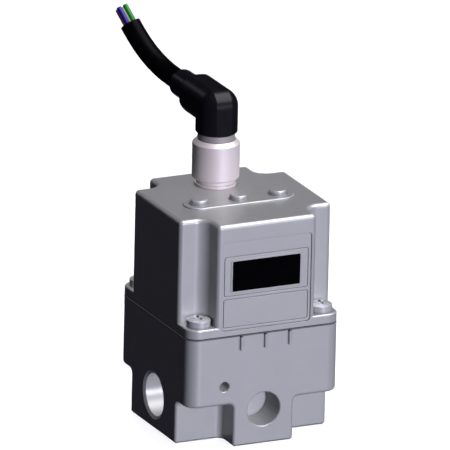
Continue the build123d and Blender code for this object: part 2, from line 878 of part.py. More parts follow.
with BuildPart() as socket_pins:
    with BuildSketch(Plane.XY.offset(control_board_bottom - pin_tail)):
        with Locations(socket_centre):
            with PolarLocations(pin_circle_r, pin_count, start_angle=pin_start_angle):
                Circle(pin_r)
    extrude(amount=pin_top - control_board_bottom + pin_tail)
    chamfer(socket_pins.edges().group_by(Axis.Z)[-1], pin_tip_chamfer)
save(socket_pins, "socket_pins")

# Coupling nut, turning on the socket's thread, with the lock ring under its flange
flange_underside = nut_top - nut_flange_thickness
lock_bottom = flange_underside - lock_ring_thickness
nut_bore_r = socket_thread_r + nut_bore_gap
lock_groove_r = lock_ring_r + lock_groove_spare
nut_section = [
    (nut_bore_r, nut_bottom),
    (nut_r - nut_bottom_edge, nut_bottom),
    (nut_r, nut_bottom + nut_bottom_edge),
    (nut_r, nut_top - nut_top_chamfer),
    (nut_r - nut_top_chamfer, nut_top),
    (plug_neck_r + nut_neck_gap, nut_top),
    (plug_neck_r + nut_neck_gap, flange_underside),
    (lock_groove_r, flange_underside),
    (lock_groove_r, lock_bottom),
    (nut_bore_r, lock_bottom),
]
with BuildPart() as coupling_nut:
    add(turned(nut_section, socket_centre))
save(coupling_nut, "coupling_nut")

with BuildPart() as nut_lock_ring:
    add(
        tube(
            plug_neck_r + lock_ring_gap,
            lock_ring_r,
            lock_bottom + lock_ring_gap,
            flange_underside - lock_ring_gap,
            socket_centre,
        )
    )
save(nut_lock_ring, "nut_lock_ring")

# Plug: seal, metal sleeve, insert and contacts
sleeve_bottom = socket_thread_top + plug_seal_thickness
collar_top = lock_bottom
with BuildPart() as plug_seal:
    add(tube(socket_bore_r, plug_seal_r, socket_thread_top, sleeve_bottom, socket_centre))
save(plug_seal, "plug_seal")

sleeve_section = [
    (socket_bore_r, sleeve_bottom),
    (plug_collar_r, sleeve_bottom),
    (plug_collar_r, collar_top),
    (plug_neck_r, collar_top),
    (plug_neck_r, nut_top + plug_neck_step_rise),
    (plug_neck_r - plug_neck_step, nut_top + plug_neck_step_rise),
    (plug_neck_r - plug_neck_step, plug_bottom),
    (socket_bore_r, plug_bottom),
]
with BuildPart() as plug_sleeve:
    add(turned(sleeve_section, socket_centre))
save(plug_sleeve, "plug_sleeve")

with BuildPart() as plug_insert:
    with BuildSketch(Plane.XY.offset(plug_insert_bottom)):
        with Locations(socket_centre):
            Circle(socket_bore_r - insert_gap)
            with PolarLocations(pin_circle_r, pin_count, start_angle=pin_start_angle):
                Circle(contact_r, mode=Mode.SUBTRACT)
    extrude(amount=plug_insert_top - plug_insert_bottom)
save(plug_insert, "plug_insert")

with BuildPart() as plug_contacts:
    with BuildSketch(Plane.XY.offset(contact_bottom)):
        with Locations(socket_centre):
            with PolarLocations(pin_circle_r, pin_count, start_angle=pin_start_angle):
                Circle(contact_r)
    extrude(amount=contact_top - contact_bottom)
    with BuildSketch(Plane.XY.offset(contact_bottom)):
        with Locations(socket_centre):
            with PolarLocations(pin_circle_r, pin_count, start_angle=pin_start_angle):
                Circle(pin_r + contact_bore_gap)
    extrude(amount=pin_top - contact_bottom + contact_tip_gap, mode=Mode.SUBTRACT)
save(plug_contacts, "plug_contacts")

# Plug housing: an upright leg, a quarter turn and an arm to the back, all of one round section
# with four flats. The arm ends in a tapered sleeve round the cable.
elbow_y = socket_y - plug_flat + plug_elbow_r
elbow_z = plug_axis_height + plug_flat - plug_elbow_r
leg_section = [
    (0, plug_bottom),
    (plug_r - plug_bottom_chamfer, plug_bottom),
    (plug_r, plug_bottom + plug_bottom_chamfer),
    (plug_r, elbow_z),
    (0, elbow_z),
]
with BuildPart() as plug_leg:
    add(turned(leg_section, socket_centre))
    with BuildSketch(Plane(origin=(0, socket_y, plug_bottom))):
        Rectangle(2 * plug_flat, 2 * plug_flat)
    extrude(amount=plug_axis_height, mode=Mode.INTERSECT)

with BuildPart() as plug_elbow:
    with BuildSketch(Plane.XY.offset(elbow_z)):
        with Locations(socket_centre):
            Circle(plug_r)
            Rectangle(2 * plug_flat, 2 * plug_flat, mode=Mode.INTERSECT)
        with Locations((0, elbow_y)):
            Rectangle(width, depth, align=(Align.CENTER, Align.MIN), mode=Mode.SUBTRACT)
    revolve(axis=Axis((0, elbow_y, elbow_z), (-1, 0, 0)), revolution_arc=90)

with BuildPart() as plug_arm:
    shoulder_middle = plug_shoulder_r * (1 - 0.5**0.5)
    with BuildSketch(Plane(origin=(0, 0, plug_axis_height), x_dir=(0, 1, 0), z_dir=(1, 0, 0))):
        with BuildLine():
            Polyline((elbow_y, 0), (elbow_y, plug_r), (plug_arm_end - plug_shoulder_r, plug_r))
            ThreePointArc(
                (plug_arm_end - plug_shoulder_r, plug_r),
                (plug_arm_end - shoulder_middle, plug_r - shoulder_middle),
                (plug_arm_end, plug_r - plug_shoulder_r),
            )
            Polyline(
                (plug_arm_end, plug_r - plug_shoulder_r),
                (plug_arm_end, sleeve_start_r),
                (sleeve_end - sleeve_edge, sleeve_end_r),
                (sleeve_end, sleeve_end_r - sleeve_edge),
                (sleeve_end, 0),
                (elbow_y, 0),
            )
        make_face()
    revolve(axis=Axis((0, 0, plug_axis_height), (0, 1, 0)))
    with BuildSketch(Plane(origin=(0, elbow_y, plug_axis_height), x_dir=(1, 0, 0), z_dir=(0, 1, 0))):
        Rectangle(2 * plug_flat, 2 * plug_flat)
    extrude(amount=depth, mode=Mode.INTERSECT)

with BuildPart() as plug_housing:
    add(plug_leg.part)
    add(plug_elbow.part)
    add(plug_arm.part)
    # Room for the cable's end and for the insert
    cable_start = cable_route[0][1]
    cable_bore_depth = sleeve_end - cable_start
    with Locations(Plane(origin=(0, cable_start, plug_axis_height), x_dir=(1, 0, 0), z_dir=(0, 1, 0))):
        Cylinder(cable_r + sleeve_bore_gap, cable_bore_depth, align=up_from_base, mode=Mode.SUBTRACT)
    with Locations((0, socket_y, plug_bottom)):
        Cylinder(socket_bore_r, plug_insert_top - plug_bottom, align=up_from_base, mode=Mode.SUBTRACT)
save(plug_housing, "plug_housing")

# Cable jacket: straight runs joined by arcs as large as the runs allow
route = [Vector(*point) for point in cable_route]
runs = [b - a for a, b in zip(route, route[1:])]
turns = [a.get_angle(b) for a, b in zip(runs, runs[1:])]
bend_radii = [
    bend_share * min(a.length, b.length) / tan(radians(turn) / 2)
    for a, b, turn in zip(runs, runs[1:], turns)
]
print("cable bend radii, mm:", [round(r, 1) for r in bend_radii])
with BuildPart() as cable_jacket:
    with BuildLine() as cable_line:
        FilletPolyline(*route, radius=bend_radii)
    with BuildSketch(Plane(origin=route[0], z_dir=runs[0])):
        Circle(cable_r)
    sweep()
cable_length = sum(edge.length for edge in cable_line.edges())
print("cable length, mm:", round(cable_length, 2))
plain_volume = pi * cable_r**2 * cable_length
print("cable volume over section times length:", cable_jacket.part.volume / plain_volume)
save(cable_jacket, "cable_jacket")

# Cores, which stand out of the cable's cut end
end_direction = runs[-1].normalized()
end_side = Vector(1, 0, 0) - end_direction * end_direction.X
cut_end = Plane(origin=route[-1], x_dir=end_side, z_dir=end_direction)
for number, colour in enumerate(core_colours):
    core_angle = core_start_angle + number * 360 / len(core_colours)
    with BuildPart() as core:
        with BuildSketch(cut_end):
            with PolarLocations(core_circle_r, 1, start_angle=core_angle):
                Circle(core_r)
        extrude(amount=core_length)
    save(core, f"core_{colour}")

# Valve guide, which closes the body's bore and holds the spring
guide_r = guide_bore_r - guide_gap
guide_bottom = ring_height + ring_thickness + ring_seat_gap
exhaust_well_bottom = stem_bottom - valve_stroke - exhaust_well_spare
seal_groove_r = guide_r - seal_groove_deep
guide_section = [
    (0, guide_bottom),
    (guide_r, guide_bottom),
    (guide_r, lower_seal_bottom),
    (seal_groove_r, lower_seal_bottom),
    (seal_groove_r, lower_seal_bottom + seal_width),
    (guide_r, lower_seal_bottom + seal_width),
    (guide_r, exhaust_groove_bottom),
    (guide_r - exhaust_groove_deep, exhaust_groove_bottom),
    (guide_r - exhaust_groove_deep, exhaust_groove_top),
    (guide_r, exhaust_groove_top),
    (guide_r, upper_seal_bottom),
    (seal_groove_r, upper_seal_bottom),
    (seal_groove_r, upper_seal_bottom + seal_width),
    (guide_r, upper_seal_bottom + seal_width),
    (guide_r, guide_seat_height),
    (spring_pocket_r, guide_seat_height),
    (spring_pocket_r, spring_pocket_bottom),
    (guide_boss_r, spring_pocket_bottom),
    (guide_boss_r, guide_boss_top),
    (stem_r + stem_gap, guide_boss_top),
    (stem_r + stem_gap, exhaust_well_bottom),
    (0, exhaust_well_bottom),
]
with BuildPart() as valve_guide:
    add(turned(guide_section))
    with Locations((0, 0, exhaust_cross_height)):
        Cylinder(exhaust_cross_r, 2 * guide_r, rotation=(0, 90, 0), mode=Mode.SUBTRACT)
        Cylinder(exhaust_cross_r, 2 * guide_r, rotation=(90, 0, 0), mode=Mode.SUBTRACT)
save(valve_guide, "valve_guide")

with BuildPart() as guide_seals:
    for seal_bottom in (lower_seal_bottom, upper_seal_bottom):
        add(tube(seal_groove_r, guide_bore_r, seal_bottom, seal_bottom + seal_width))
save(guide_seals, "guide_seals")

# Retaining ring, with its gap and two eared ends
retainer_r = guide_bore_r + ring_groove_deep - guide_gap
retainer_ear_y = 2 * retainer_ear_r / 3 - retainer_inner_r
with BuildPart() as retaining_ring:
    with BuildSketch(Plane.XY.offset(ring_height)):
        Circle(retainer_r)
        Circle(retainer_inner_r, mode=Mode.SUBTRACT)
        with Locations((0, -retainer_r)):
            Rectangle(2 * retainer_gap_half, 2 * retainer_r - retainer_inner_r, mode=Mode.SUBTRACT)
        with Locations((-retainer_ear_x, retainer_ear_y), (retainer_ear_x, retainer_ear_y)):
            Circle(retainer_ear_r)
            Circle(retainer_ear_hole_r, mode=Mode.SUBTRACT)
    extrude(amount=ring_thickness)
save(retaining_ring, "retaining_ring")

# Supply valve: a hollow stem with a poppet, and the rubber face that closes the seat
face_top = web_bottom - seat_lip_height
poppet_top = poppet_bottom + poppet_thickness
face_r = poppet_r - poppet_rim
valve_section = [
    (stem_bore_r, stem_bottom),
    (stem_r, stem_bottom),
    (stem_r, poppet_bottom),
    (poppet_r, poppet_bottom),
    (poppet_r, poppet_top),
    (stem_r, poppet_top),
    (stem_r, stem_top),
    (stem_bore_r, stem_top),
]
with BuildPart() as supply_valve:
    add(turned(valve_section))
save(supply_valve, "supply_valve")

with BuildPart() as valve_face:
    add(tube(stem_r, face_r, poppet_top, face_top))
save(valve_face, "valve_face")

with BuildPart() as valve_spring:
    add(
        coil_spring(
            valve_spring_r,
            valve_spring_wire_r,
            valve_spring_turns,
            spring_pocket_bottom,
            poppet_bottom,
        )
    )
save(valve_spring, "valve_spring")

# Diaphragm: a rim clamped under the pilot block, a roll, and a flat held between two plates
rim_r = pilot_bore_r - rim_gap
membrane_bottom = (rim_ledge_height + rim_top - membrane_thickness) / 2
membrane_top = membrane_bottom + membrane_thickness
roll_inner = plate_r + roll_gap
roll_outer = outlet_chamber_r - roll_gap
roll_middle = (roll_inner + roll_outer) / 2
with BuildPart() as diaphragm:
    with BuildSketch(Plane.XZ):
        with BuildLine():
            Line((stud_r + stud_gap, membrane_bottom), (roll_inner, membrane_bottom))
            ThreePointArc(
                (roll_inner, membrane_bottom),
                (roll_middle, membrane_bottom + roll_height),
                (roll_outer, membrane_bottom),
            )
            Polyline(
                (roll_outer, membrane_bottom),
                (outlet_chamber_r, membrane_bottom),
                (outlet_chamber_r, rim_ledge_height),
                (rim_r, rim_ledge_height),
                (rim_r, rim_top),
                (outlet_chamber_r, rim_top),
                (outlet_chamber_r, membrane_top),
                (roll_outer, membrane_top),
            )
            ThreePointArc(
                (roll_outer, membrane_top),
                (roll_middle, membrane_top + roll_height),
                (roll_inner, membrane_top),
            )
            Polyline(
                (roll_inner, membrane_top),
                (stud_r + stud_gap, membrane_top),
                (stud_r + stud_gap, membrane_bottom),
            )
        make_face()
    revolve(axis=Axis.Z)
save(diaphragm, "diaphragm")

upper_plate_top = membrane_top + plate_thickness
with BuildPart() as diaphragm_plate:
    add(tube(stud_r + stud_gap, plate_r, membrane_top, upper_plate_top))
save(diaphragm_plate, "diaphragm_plate")

rod_bottom = stem_top + rod_seal_thickness
lower_plate_bottom = membrane_bottom - plate_thickness
rod_section = [
    (0, rod_bottom),
    (rod_r, rod_bottom),
    (rod_r, lower_plate_bottom),
    (plate_r, lower_plate_bottom),
    (plate_r, membrane_bottom),
    (stud_r, membrane_bottom),
    (stud_r, upper_plate_top),
    (rivet_r, upper_plate_top),
    (rivet_r - rivet_height / 2, upper_plate_top + rivet_height),
    (0, upper_plate_top + rivet_height),
]
with BuildPart() as valve_rod:
    add(turned(rod_section))
save(valve_rod, "valve_rod")

with BuildPart() as rod_seal:
    add(tube(0, rod_seal_r, stem_top, rod_bottom))
save(rod_seal, "rod_seal")

# Pilot block, a plug in the body's bore with a flange on the body's top
pilot_chamber_top = upper_plate_top + rivet_height + exhaust_lift + pilot_chamber_spare
with BuildPart() as pilot_block:
    with BuildSketch(Plane.XY.offset(rim_top)):
        Circle(pilot_bore_r - pilot_gap)
    extrude(amount=body_top - rim_top)
    with BuildSketch(Plane.XY.offset(body_top)):
        add(cover_outline(cover_wall + pilot_flange_gap))
    extrude(amount=pilot_flange_thickness)
    with BuildSketch(Plane.XY.offset(rim_top)):
        Circle(pilot_chamber_r)
    extrude(amount=pilot_chamber_top - rim_top, mode=Mode.SUBTRACT)
    with BuildSketch(Plane.XY.offset(body_top)):
        with GridLocations(2 * pilot_screw_x, 2 * pilot_screw_y, 2, 2):
            Circle(pilot_screw_r + screw_clear_gap)
    extrude(amount=pilot_flange_thickness, mode=Mode.SUBTRACT)
    with BuildSketch(Plane.XY.offset(rim_top)):
        with Locations((-solenoid_x, solenoid_y), (solenoid_x, solenoid_y), (0, sensor_y)):
            Circle(pilot_orifice_r)
    extrude(amount=pilot_top - rim_top, mode=Mode.SUBTRACT)
save(pilot_block, "pilot_block")

with BuildPart() as pilot_screws:
    with Locations(Plane.XY.offset(pilot_top)):
        with GridLocations(2 * pilot_screw_x, 2 * pilot_screw_y, 2, 2):
            add(
                pan_screw(
                    pilot_screw_r,
                    pilot_screw_length,
                    pilot_screw_head_r,
                    pilot_screw_head_side,
                    pilot_screw_head_dome,
                )
            )
save(pilot_screws, "pilot_screws")

# Solenoids, alike apart from their place
base_top = pilot_top + valve_base_height
yoke_top = base_top + yoke_height
coil_bottom = base_top + yoke_thickness
coil_top = yoke_top - yoke_thickness
plunger_r = tube_bore_r - plunger_gap
core_piece_r = tube_bore_r - plunger_gap
plunger_bottom = pilot_top + valve_well_floor + nozzle_height
core_bottom = yoke_top - core_piece_length
plunger_top = core_bottom - plunger_travel
for name, centre_x in {"supply": -solenoid_x, "exhaust": solenoid_x}.items():
    centre = (centre_x, solenoid_y)
    with BuildPart() as valve_base:
        with BuildSketch(Plane.XY.offset(pilot_top)):
            with Locations(centre):
                RectangleRounded(solenoid_width, solenoid_depth, solenoid_corner_r)
        extrude(amount=valve_base_height)
        with BuildSketch(Plane.XY.offset(pilot_top + valve_well_floor)):
            with Locations(centre):
                Circle(valve_well_r)
        extrude(amount=valve_base_height, mode=Mode.SUBTRACT)
        add(tube(nozzle_bore_r, nozzle_r, pilot_top + valve_well_floor, plunger_bottom, centre))
        with BuildSketch(Plane.XY.offset(pilot_top)):
            with Locations(centre):
                Circle(nozzle_bore_r)
        extrude(amount=valve_well_floor, mode=Mode.SUBTRACT)
    save(valve_base, f"{name}_valve_base")

    # Yoke: a steel strip folded round the coil, open at the front and back
    with BuildPart() as yoke:
        with BuildSketch(Plane(origin=(centre_x, solenoid_y, (base_top + yoke_top) / 2))):
            Rectangle(solenoid_width, yoke_depth)
        extrude(amount=yoke_height / 2, both=True)
        with BuildSketch(Plane(origin=(centre_x, solenoid_y, (base_top + yoke_top) / 2))):
            Rectangle(solenoid_width - 2 * yoke_thickness, solenoid_depth)
        extrude(amount=yoke_height / 2 - yoke_thickness, both=True, mode=Mode.SUBTRACT)
        with BuildSketch(Plane.XY.offset(base_top)):
            with Locations(centre):
                Circle(tube_bore_r)
        extrude(amount=yoke_height, mode=Mode.SUBTRACT)
    save(yoke, f"{name}_yoke")

    coil_outer_r = solenoid_width / 2 - yoke_thickness - coil_gap
    coil_section = [
        (tube_bore_r, coil_bottom),
        (coil_outer_r, coil_bottom),
        (coil_outer_r, coil_bottom + coil_flange_height),
        (coil_outer_r - coil_winding_deep, coil_bottom + coil_flange_height),
        (coil_outer_r - coil_winding_deep, coil_top - coil_flange_height),
        (coil_outer_r, coil_top - coil_flange_height),
        (coil_outer_r, coil_top),
        (tube_bore_r, coil_top),
    ]
    with BuildPart() as coil:
        add(turned(coil_section, centre))
        # Terminal block at the back, with two pins up to the control board
        block_start = solenoid_y + coil_outer_r / 2
        block_end = solenoid_y + solenoid_depth / 2
        with BuildSketch(Plane.XY.offset(coil_top - terminal_height)):
            with Locations((centre_x, (block_start + block_end) / 2)):
                Rectangle(terminal_width, block_end - block_start)
            with Locations(centre):
                Circle(core_piece_r + coil_flange_height, mode=Mode.SUBTRACT)
        extrude(amount=terminal_height)
        with BuildSketch(Plane.XY.offset(coil_top)):
            with Locations((centre_x, block_end - 2 * terminal_r)):
                with GridLocations(terminal_pitch, 1, 2, 1):
                    Circle(terminal_r)
        extrude(amount=control_board_bottom - coil_top)
    save(coil, f"{name}_coil")

    with BuildPart() as core_piece:
        add(tube(0, core_piece_r, core_bottom, yoke_top, centre))
    save(core_piece, f"{name}_pole")

    plunger_section = [
        (0, plunger_bottom),
        (plunger_r, plunger_bottom),
        (plunger_r, plunger_top),
        (plunger_pocket_r, plunger_top),
        (plunger_pocket_r, plunger_top - plunger_pocket_deep),
        (0, plunger_top - plunger_pocket_deep),
    ]
    with BuildPart() as plunger:
        add(turned(plunger_section, centre))
    save(plunger, f"{name}_plunger")

    with BuildPart() as plunger_spring:
        add(
            coil_spring(
                plunger_spring_r,
                plunger_spring_wire_r,
                plunger_spring_turns,
                plunger_top - plunger_pocket_deep,
                core_bottom,
                centre,
            )
        )
    save(plunger_spring, f"{name}_plunger_spring")

# Pressure sensor, over its own hole in the pilot block
sensor_section = [
    (0, pilot_top),
    (sensor_flange_r, pilot_top),
    (sensor_flange_r, pilot_top + sensor_flange_thickness),
    (sensor_can_r, pilot_top + sensor_flange_thickness),
    (sensor_can_r, pilot_top + sensor_height),
    (0, pilot_top + sensor_height),
]
with BuildPart() as pressure_sensor:
    add(turned(sensor_section, (0, sensor_y)))
    with BuildSketch(Plane.XY.offset(pilot_top)):
        with Locations((0, sensor_y)):
            Circle(sensor_bore_r)
    extrude(amount=sensor_height - sensor_flange_thickness, mode=Mode.SUBTRACT)
save(pressure_sensor, "pressure_sensor")
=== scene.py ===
from math import cos, radians, sin, tau

import bmesh
import bpy
from mathutils import Matrix, Vector


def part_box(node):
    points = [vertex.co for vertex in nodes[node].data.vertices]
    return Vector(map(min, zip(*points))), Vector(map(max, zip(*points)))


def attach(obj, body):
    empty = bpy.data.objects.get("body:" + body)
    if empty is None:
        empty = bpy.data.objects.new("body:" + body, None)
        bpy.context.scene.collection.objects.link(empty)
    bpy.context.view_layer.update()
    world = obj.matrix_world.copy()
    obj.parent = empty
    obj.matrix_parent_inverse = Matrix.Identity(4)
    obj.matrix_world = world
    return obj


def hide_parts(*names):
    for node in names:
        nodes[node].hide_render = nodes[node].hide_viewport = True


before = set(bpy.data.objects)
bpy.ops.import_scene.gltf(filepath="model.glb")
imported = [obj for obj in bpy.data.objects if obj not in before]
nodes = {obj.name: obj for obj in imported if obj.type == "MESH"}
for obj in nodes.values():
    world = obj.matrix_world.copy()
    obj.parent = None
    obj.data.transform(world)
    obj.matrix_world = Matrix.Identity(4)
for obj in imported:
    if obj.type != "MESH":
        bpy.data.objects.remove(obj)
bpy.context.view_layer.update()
scene = bpy.context.scene

MM = 0.001


def placed(name, data):
    """A new object in the scene."""
    thing = bpy.data.objects.new(name, data)
    scene.collection.objects.link(thing)
    return thing


# Camera. The photograph is close to a parallel projection, so the lens is very long. The target
# is the point of the object that lies at the photograph's centre.
photo_width = 450
photo_pixels_per_mm = 3.318
view_azimuth = radians(-25.3)
view_elevation = radians(18.5)
view_roll = 0.022
view_target = Vector((5.96, 17.59, 54.98)) * MM
lens = 1500.0
sensor_width = 36.0

back = Vector((
    sin(view_azimuth) * cos(view_elevation),
    -cos(view_azimuth) * cos(view_elevation),
    sin(view_elevation),
))
level = Vector((cos(view_azimuth), sin(view_azimuth), 0))
upright = back.cross(level)
camera_right = level * cos(view_roll) + upright * sin(view_roll)
camera_up = upright * cos(view_roll) - level * sin(view_roll)
camera_distance = photo_width / photo_pixels_per_mm * MM * lens / sensor_width
camera = placed("camera", bpy.data.cameras.new("camera"))
camera.data.lens = lens
camera.data.sensor_width = sensor_width
camera.data.clip_end = 2 * camera_distance
axes = Matrix((camera_right, camera_up, back)).transposed().to_4x4()
camera.matrix_world = Matrix.Translation(view_target + back * camera_distance) @ axes
scene.camera = camera
scene.view_settings.view_transform = "Standard"


def linear(*levels):
    """A colour from its 0 to 255 display levels."""
    return tuple(
        v / 255 / 12.92 if v <= 10 else ((v / 255 + 0.055) / 1.055) ** 2.4 for v in levels
    )


def shaded(colour, share):
    """The same colour with less light."""
    return tuple(share * c for c in colour)


class Look:
    """A node material, with short calls for the nodes that feed its shader. Sizes are in mm."""

    # How many bands a wave texture draws in a unit of length
    bands_per_unit = 20 / tau

    def __init__(self, name, colour, roughness, metallic=0.0, **sockets):
        self.material = bpy.data.materials.new(name)
        self.material.use_nodes = True
        self.tree = self.material.node_tree
        self.shader = self.tree.nodes["Principled BSDF"]
        self.place = self.add("ShaderNodeTexCoord").outputs["Object"]
        self.put("Base Color", (*colour, 1))
        self.put("Roughness", roughness)
        self.put("Metallic", metallic)
        for key, value in sockets.items():
            self.put(key.replace("_", " "), value)

    def add(self, kind, inputs=None, **settings):
        node = self.tree.nodes.new(kind)
        for key, value in settings.items():
            setattr(node, key, value)
        for key, value in (inputs or {}).items():
            self.feed(node.inputs[key], value)
        return node

    def feed(self, socket, value):
        if isinstance(value, bpy.types.NodeSocket):
            self.tree.links.new(value, socket)
        else:
            socket.default_value = value

    def put(self, name, value):
        """Sets one of the shader's own sockets, to a value or another node's output."""
        self.feed(self.shader.inputs[name], value)

    def current(self, name):
        """What one of the shader's own sockets has now, another node's output or a value."""
        socket = self.shader.inputs[name]
        if socket.is_linked:
            return socket.links[0].from_socket
        value = socket.default_value
        return value if isinstance(value, float) else tuple(value)

    def maths(self, operation, *values):
        return self.add("ShaderNodeMath", dict(enumerate(values)), operation=operation).outputs[0]

    def below(self, value, limit):
        """1 where a value is under a limit, 0 elsewhere."""
        return self.maths("LESS_THAN", value, limit)

    def above(self, value, limit):
        """1 where a value is over a limit, 0 elsewhere."""
        return self.maths("GREATER_THAN", value, limit)

    def scaled(self, value, low, high, to_low, to_high):
        """A value stretched from one range to another, and kept within it."""
        inputs = dict(enumerate((value, low, high, to_low, to_high)))
        return self.add("ShaderNodeMapRange", inputs).outputs["Result"]

    def stretched(self, x, y, z):
        """The place with each direction scaled, to draw a texture out."""
        inputs = {0: self.place, 1: (x, y, z)}
        return self.add("ShaderNodeVectorMath", inputs, operation="MULTIPLY").outputs[0]

    def noise(self, size, detail, place=None):
        inputs = {"Vector": place or self.place, "Scale": 1 / (size * MM), "Detail": detail}
        return self.add("ShaderNodeTexNoise", inputs).outputs["Fac"]

    def cell_edges(self, size):
        """How far a point is from the nearest edge in a pattern of cells."""
        inputs = {"Vector": self.place, "Scale": 1 / (size * MM)}
        node = self.add("ShaderNodeTexVoronoi", inputs, feature="DISTANCE_TO_EDGE")
        return node.outputs["Distance"]

    def waves(self, pitch, direction):
        """Parallel bands along one axis of the frame."""
        inputs = {"Vector": self.place, "Scale": 1 / (pitch * MM) / self.bands_per_unit}
        return self.add("ShaderNodeTexWave", inputs, bands_direction=direction).outputs["Fac"]

    def xyz(self):
        """The place's three coordinates, in metres."""
        return list(self.add("ShaderNodeSeparateXYZ", {0: self.place}).outputs)

    def within(self, radius, axis, centre):
        """1 within a radius of the line along X, Y or Z through a centre, 0 elsewhere."""
        squares = []
        for i, part in enumerate(self.xyz()):
            if "XYZ"[i] != axis:
                offset = self.maths("SUBTRACT", part, centre[i] * MM)
                squares.append(self.maths("MULTIPLY", offset, offset))
        root = self.maths("SQRT", self.maths("ADD", *squares))
        return self.below(self.maths("DIVIDE", root, MM), radius)

    def tint(self, amount, colour):
        """Blends the base colour towards another by an amount from 0 to 1."""
        inputs = {0: amount, 6: self.current("Base Color"), 7: (*colour, 1)}
        self.put("Base Color", self.add("ShaderNodeMix", inputs, data_type="RGBA").outputs[2])

    def mottle(self, size, detail, low, high, share, colour):
        """Blends in another colour, by up to a share, as a noise goes from a low level to a
        high one."""
        self.tint(self.scaled(self.noise(size, detail), low, high, 0, share), colour)

    def vary(self, name, amount, low, high):
        """Lets one of the shader's plain values follow an amount."""
        self.put(name, self.scaled(amount, 0, 1, low, high))

    def blend_value(self, name, amount, value):
        """Blends one of the shader's plain values towards another by an amount."""
        inputs = {0: amount, 2: self.current(name), 3: value}
        self.put(name, self.add("ShaderNodeMix", inputs, data_type="FLOAT").outputs[0])

    def soft_edges(self, radius):
        """Rounds the edges a little in the shading."""
        node = self.add("ShaderNodeBevel", {"Radius": radius * MM}, samples=6)
        self.put("Normal", node.outputs[0])

    def bump(self, height, depth):
        inputs = {"Height": height, "Distance": depth * MM, "Strength": 1.0}
        if self.shader.inputs["Normal"].is_linked:
            inputs["Normal"] = self.current("Normal")
        self.put("Normal", self.add("ShaderNodeBump", inputs).outputs[0])

    def paint_crevice_shade(self, reach, colour, strength):
        """Paints shade into seams and inner corners, darker the more closed in they are."""
        openness = self.add("ShaderNodeAmbientOcclusion", {"Distance": reach * MM}, samples=12)
        self.tint(self.scaled(openness.outputs["AO"], 0.25, 0.9, strength, 0.0), colour)

    def on(self, *names):
        """Puts the material on CAD nodes."""
        for name in names:
            mesh = nodes[name].data
            mesh.materials.clear()
            mesh.materials.append(self.material)


housing_grey = linear(133, 133, 135)
housing_dark = linear(121, 121, 123)
# Colour of the painted shade in seams, inner corners and along the joint
painted_shade_dark = linear(30, 30, 36)


def coated(name, colour, grain, grain_depth, roughness=0.42):
    """The grey finish of the housing: a slightly mottled colour with a fine grain."""
    look = Look(name, colour, roughness, Coat_Weight=0.8, Coat_Roughness=0.3)
    look.mottle(9.0, 3, 0.35, 0.75, 0.25, housing_dark)
    look.mottle(0.5, 2, 0.45, 0.7, 0.18, housing_dark)
    look.vary("Roughness", look.noise(3.0, 3), roughness - 0.06, roughness + 0.06)
    look.soft_edges(0.18)
    look.bump(look.noise(grain, 3), grain_depth)
    return look


# Joint between the body and the cover, with painted shade along it
joint_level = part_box("body")[1][2] / MM
joint_shade_reach = 0.27
joint_shade_fade_reach = 0.38
joint_roughness = 0.8


def paint_joint_shade(look):
    """Paints shade on the edges beside the gasket, and makes them dull."""
    height = look.maths("DIVIDE", look.xyz()[2], MM)
    from_joint = look.maths("ABSOLUTE", look.maths("SUBTRACT", height, joint_level))
    near = look.scaled(from_joint, joint_shade_reach, joint_shade_fade_reach, 1, 0)
    # Painted shade in a band on either side of the joint
    look.tint(near, painted_shade_dark)
    look.blend_value("Roughness", near, joint_roughness)
    look.blend_value("Coat Weight", near, 0.0)


# Body: cast and coated, with bare machined metal in its bores, and the front bores painted darker
# as shade inside them
side_port_height = 10.4
side_port_floor = 14.4
side_mouth_r = 7.53
outlet_port_height = 10.8
outlet_floor = -15.1
outlet_mouth_r = 5.63
bleed_x = -13.15
bleed_height = 19.3
bleed_floor = -19.1
bleed_mouth_r = 1.78
centre_bore_r = 11.85
thread_pitch = 1.337
thread_mark_depth = 0.008
bore_metal = linear(144, 144, 145)
# Darker grey painted in the outlet and bleed bores, as shade inside them
front_bore_shade_grey = linear(118, 118, 122)

body_look = coated("cast_grey", housing_grey, 0.42, 0.035)
across, along = body_look.xyz()[:2]
side_bores = body_look.maths(
    "MULTIPLY",
    body_look.within(side_mouth_r, "X", (0, 0, side_port_height)),
    body_look.above(body_look.maths("ABSOLUTE", across), side_port_floor * MM),
)
outlet_bore = body_look.maths(
    "MULTIPLY",
    body_look.within(outlet_mouth_r, "Y", (0, 0, outlet_port_height)),
    body_look.below(along, outlet_floor * MM),
)
bleed_bore = body_look.maths(
    "MULTIPLY",
    body_look.within(bleed_mouth_r, "Y", (bleed_x, 0, bleed_height)),
    body_look.below(along, bleed_floor * MM),
)
centre_bore = body_look.within(centre_bore_r, "Z", (0, 0, 0))
front_bores = body_look.maths("MAXIMUM", outlet_bore, bleed_bore)
bores = body_look.maths("MAXIMUM", side_bores, front_bores)
bores = body_look.maths("MAXIMUM", bores, centre_bore)
body_look.tint(bores, bore_metal)
# Painted shade: the outlet and bleed bores are darker inside
body_look.tint(front_bores, front_bore_shade_grey)
body_look.blend_value("Metallic", bores, 0.4)
body_look.blend_value("Metallic", front_bores, 0.1)
body_look.blend_value("Roughness", bores, 0.33)
body_look.blend_value("Roughness", front_bores, 0.5)
body_look.blend_value("Coat Weight", bores, 0.0)
for axis, bore in (("X", side_bores), ("Y", outlet_bore), ("Z", centre_bore)):
    thread_marks = body_look.maths("MULTIPLY", body_look.waves(thread_pitch, axis), bore)
    body_look.bump(thread_marks, thread_mark_depth)
# Painted shade in the body's seams and inner corners
body_look.paint_crevice_shade(1.2, painted_shade_dark, 0.75)
paint_joint_shade(body_look)
body_look.on("body")

# Cover: moulded, with a finer grain than the casting
cover_look = coated("moulded_grey", housing_grey, 0.3, 0.02)
